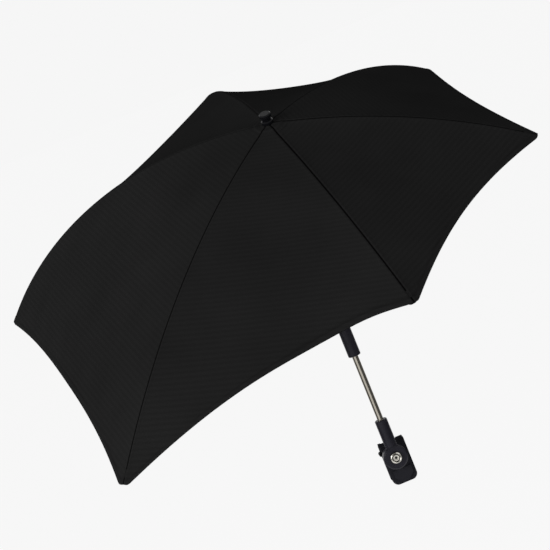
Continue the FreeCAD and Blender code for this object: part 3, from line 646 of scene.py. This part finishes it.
def canopy_half(i, j, name):
    """Half a gore: the cloth from rib i half-way to rib j, as one thin closed sheet."""
    plain_rows = [k / ROWS for k in range(ROWS) if k / ROWS < HEM_START]
    rows = [half_row(i, j, row) for row in plain_rows + HEM_ROWS]
    cloth = Cloth(name)
    tops, lows = [], []
    for entries in rows:
        top_row, low_row = [], []
        for top, low, place, shade_and_stitches in entries:
            top_row.append(cloth.vertex(top, place, shade_and_stitches))
            low_row.append(cloth.vertex(low, place, shade_and_stitches))
        tops.append(top_row)
        lows.append(low_row)
    cloth.close(tops, lows)
    piece = cloth.piece(CLOTH_CREASE)
    points = [[entry[0] for entry in entries] for entries in rows]
    span = (points[-1][0] - points[-1][-1]).length
    length = (ridge(i, 1.0) - ridge(i, 0.0)).length
    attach(piece, "rib_%d" % (i + 1))
    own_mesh(piece)
    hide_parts("canopy_panel_%d" % (i + 1))
    return piece, grid_area(points), span, length


def patch_point(i, side, reach, top):
    """Point of the crown patch from rib i towards the next one, and the painted shade of the
    seams' grooves there.
    """
    j = (i + 1) % COUNT
    chord = (OUTS[i] * (1 - side) + OUTS[j] * side).length
    a, b = (ridge(k, share_at(k, reach / chord)) for k in (i, j))
    point = a + (b - a) * side
    level = (point - CROWN).dot(AXIS)
    away = (point - CROWN - AXIS * level).length
    over_cloth = level + CLOTH_LIFT
    over_hub = (-HUB_TOP + HUB_LIFT + PATCH_THICK
                + FINIAL_RISE * smooth((FINIAL_REACH - away) / FINIAL_SLOPE))
    over_hub -= HUB_FALL * max(0.0, away - HUB_R - HUB_EDGE)
    gap = over_cloth - over_hub
    height = 0.5 * (over_cloth + over_hub + math.sqrt(gap * gap + LIFT_ROUND))
    rise, shade_and_stitches = sewing(min(side, 1 - side) * (b - a).length, NO_HEM,
                            SEAM_SHADES[i if side < 0.5 else j])
    height += PATCH_RELIEF * rise if top else -PATCH_THICK
    return point + AXIS * (height - level), shade_and_stitches


def crown_patch():
    """Cloth patch under the finial: it carries the seams on over the hub."""
    patch = Cloth("crown_rosette")
    reaches = [PATCH_INNER + (PATCH_R - PATCH_INNER) * k / PATCH_RINGS
               for k in range(PATCH_RINGS + 1)]
    sides = PATCH_SIDES + [1 - side for side in reversed(PATCH_SIDES[1:-1])]

    def ring(reach, top):
        made = []
        for i in range(COUNT):
            middle, across = gore_flat(i, (i + 1) % COUNT)
            for side in sides:
                point, shade_and_stitches = patch_point(i, side, reach, top)
                offset = point - CROWN
                place = (offset.dot(across), offset.dot(middle))
                made.append(patch.vertex(point, place, shade_and_stitches))
        return made

    tops = [ring(reach, True) for reach in reaches]
    lows = [ring(reach, False) for reach in reaches]
    around = len(tops[0])
    for k in range(around):
        n = (k + 1) % around
        for r in range(PATCH_RINGS):
            patch.face(tops[r][k], tops[r + 1][k], tops[r + 1][n], tops[r][n])
            patch.face(lows[r][k], lows[r][n], lows[r + 1][n], lows[r + 1][k])
        patch.face(tops[-1][k], lows[-1][k], lows[-1][n], tops[-1][n])
        patch.face(tops[0][k], tops[0][n], lows[0][n], lows[0][k])
    piece = patch.piece(CLOTH_CREASE)
    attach(piece, "neck")
    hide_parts("crown_patch")


def tip_pocket(i):
    """Cloth pocket sewed under the corner, round the rib's end."""
    pocket = Cloth("tip_pocket_%d" % (i + 1))
    tops, lows = [], []
    for r in range(POCKET_ROWS + 1):
        along = -POCKET_LONG * (1 - math.sin(0.5 * math.pi * r / POCKET_ROWS))
        nose = max(0.0, 1 + along / POCKET_ROUND)
        half = POCKET_HALF * math.sqrt(max(0.0, 1 - nose ** NOSE_POWER))
        deep = (POCKET_LOW * smooth((along + POCKET_LONG) / POCKET_MOUTH)
                * math.sqrt(1 - nose ** DEPTH_POWER))
        at = 1 + along / ridge_length(i)
        normal = ridge_normal(i, at)
        top_row, low_row = [], []
        for c in range(-POCKET_COLUMNS, POCKET_COLUMNS + 1):
            across = half * math.sin(0.5 * math.pi * c / POCKET_COLUMNS)
            j = (i + (1 if c > 0 else -1)) % COUNT
            b = ridge(j, at)
            share = abs(across) / (b - ridge(i, at)).length
            a = ridge(i, at + share * SQUARE_CUTS[i, j])
            top = a + (b - a) * share - normal * 0.5 * CLOTH_THICK
            fall = 0.5 * CLOTH_THICK + deep * (1 - (c / POCKET_COLUMNS) ** 2) ** BELLY_POWER
            top_row.append(pocket.vertex(top, (across, along)))
            low_row.append(pocket.vertex(top - normal * fall, (across, along)))
        tops.append(top_row)
        lows.append(low_row)
    pocket.close(tops, lows)
    piece = pocket.piece(POCKET_CREASE, weld=POCKET_WELD)
    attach(piece, "rib_%d" % (i + 1))
    return piece


for index in range(COUNT):
    label = "canopy_cloth_%d_" % (index + 1)
    for word, other, keep in (("left", (index - 1) % COUNT, LEFT_KEEPS[index]),
                              ("right", (index + 1) % COUNT, RIGHT_KEEPS[index])):
        cloth, cloth_area, cloth_span, cloth_length = canopy_half(index, other, label + word)
        [tip_pocket(index)] if word == "right" else []
crown_patch()


def bare_tree(owner):
    """Node tree of a material or a world, emptied."""
    owner.use_nodes = True
    owner.node_tree.nodes.clear()
    return owner.node_tree


def shader(tree, kind, colour):
    """New shader node of one colour."""
    made = tree.nodes.new(kind)
    made.inputs["Color"].default_value = colour
    return made


def seen_share(tree, share):
    """Node output that is the given share for camera, mirror and clear rays, else 0."""
    path = tree.nodes.new("ShaderNodeLightPath")
    seen = path.outputs["Is Camera Ray"]
    for kind in ("Is Glossy Ray", "Is Transmission Ray"):
        either = tree.nodes.new("ShaderNodeMath")
        either.operation = "MAXIMUM"
        tree.links.new(seen, either.inputs[0])
        tree.links.new(path.outputs[kind], either.inputs[1])
        seen = either.outputs[0]
    scaled = tree.nodes.new("ShaderNodeMath")
    scaled.operation = "MULTIPLY"
    scaled.inputs[1].default_value = share
    tree.links.new(seen, scaled.inputs[0])
    return scaled.outputs[0]


def seen_mix(tree, output, share, lit, seen):
    """Surface of one shader as light and, by a share, of another one as it is seen."""
    mix = tree.nodes.new("ShaderNodeMixShader")
    tree.links.new(seen_share(tree, share), mix.inputs[0])
    tree.links.new(lit.outputs[0], mix.inputs[1])
    tree.links.new(seen.outputs[0], mix.inputs[2])
    tree.links.new(mix.outputs[0], tree.nodes.new(output).inputs["Surface"])


def quad(name, corners, material):
    """Object of a single four-cornered face."""
    mesh = bpy.data.meshes.new(name)
    mesh.from_pydata(corners, [], [(0, 1, 2, 3)])
    mesh.materials.append(material)
    made = bpy.data.objects.new(name, mesh)
    scene.collection.objects.link(made)
    return made


def stage():
    """Pale floor, and a world that is bright to look at and dimmer as a light."""
    material = bpy.data.materials.new("floor_paper")
    tree = bare_tree(material)
    seen_mix(tree, "ShaderNodeOutputMaterial", FLOOR_SEEN,
             lit=shader(tree, "ShaderNodeBsdfDiffuse", tint(WHITE, FLOOR_TONE)),
             seen=shader(tree, "ShaderNodeEmission", WHITE))
    floor = quad("floor", [(-FLOOR_REACH, -FLOOR_REACH, GROUND),
                           (FLOOR_REACH, -FLOOR_REACH, GROUND),
                           (FLOOR_REACH, FLOOR_REACH, GROUND),
                           (-FLOOR_REACH, FLOOR_REACH, GROUND)], material)

    scene.world = bpy.data.worlds.new("studio")
    tree = bare_tree(scene.world)
    room = shader(tree, "ShaderNodeBackground", WHITE)
    room.inputs["Strength"].default_value = ROOM_LIGHT
    seen_mix(tree, "ShaderNodeOutputWorld", 1.0, lit=room,
             seen=shader(tree, "ShaderNodeBackground", linear(*BACKDROP)))


def flag(name, start, end, tone):
    """Dark upright card, seen only in reflections, that gives the metal its contrast."""
    material = bpy.data.materials.new(name)
    tree = bare_tree(material)
    glow = shader(tree, "ShaderNodeEmission", tint(WHITE, tone))
    tree.links.new(glow.outputs[0], tree.nodes.new("ShaderNodeOutputMaterial").inputs["Surface"])
    card = quad(name, [(*start, FLAG_LOW), (*end, FLAG_LOW), (*end, FLAG_HIGH),
                       (*start, FLAG_HIGH)], material)
    card.visible_camera = False
    card.visible_diffuse = False
    card.visible_shadow = False


def lamp(name, place, aim, size, watts):
    """Soft square lamp aimed at a point."""
    data = bpy.data.lights.new(name, "AREA")
    data.size = size
    data.energy = watts
    made = bpy.data.objects.new(name, data)
    made.location = place
    made.rotation_euler = (Vector(aim) - Vector(place)).to_track_quat("-Z", "Y").to_euler()
    scene.collection.objects.link(made)


def camera():
    """Camera at the photograph's angle, placed from the tilt pivot."""
    side, raise_, roll = (math.radians(value) for value in (CAM_SIDE, CAM_RAISE, CAM_ROLL))
    back = Vector((math.sin(side) * math.cos(raise_), -math.cos(side) * math.cos(raise_),
                   math.sin(raise_)))
    level = Vector((0, 0, 1)).cross(back).normalized()
    upright = back.cross(level)
    right = level * math.cos(roll) + upright * math.sin(roll)
    up = upright * math.cos(roll) - level * math.sin(roll)
    pivot = Vector(JOINTS["tilt"]["pos_m"])
    place = pivot + right * AIM_RIGHT + up * AIM_UP + back * CAM_DISTANCE
    data = bpy.data.cameras.new("camera")
    data.sensor_width = CAM_SENSOR
    data.lens = CAM_LENS
    data.clip_end = CAM_FAR
    made = bpy.data.objects.new("camera", data)
    made.matrix_world = Matrix.Translation(place) @ Matrix(
        (right, up, back)).transposed().to_4x4()
    scene.collection.objects.link(made)
    scene.camera = made


stage()
camera()
flag("flag_right", start=(0.34, -2.7), end=(1.7, 1.4), tone=0.1)
flag("flag_left", start=(-1.7, -1.2), end=(-1.5, 1.4), tone=0.12)
lamp("key", place=(-2.75, -1.9, 1.2), aim=(0, -0.15, 0.4), size=1.8, watts=84.0)
lamp("fill", place=(2.3, -2.0, 1.1), aim=(0, -0.1, 0.35), size=1.4, watts=22.0)
lamp("top", place=(-0.3, -0.6, 2.6), aim=(0, -0.1, 0.4), size=1.2, watts=0.5)
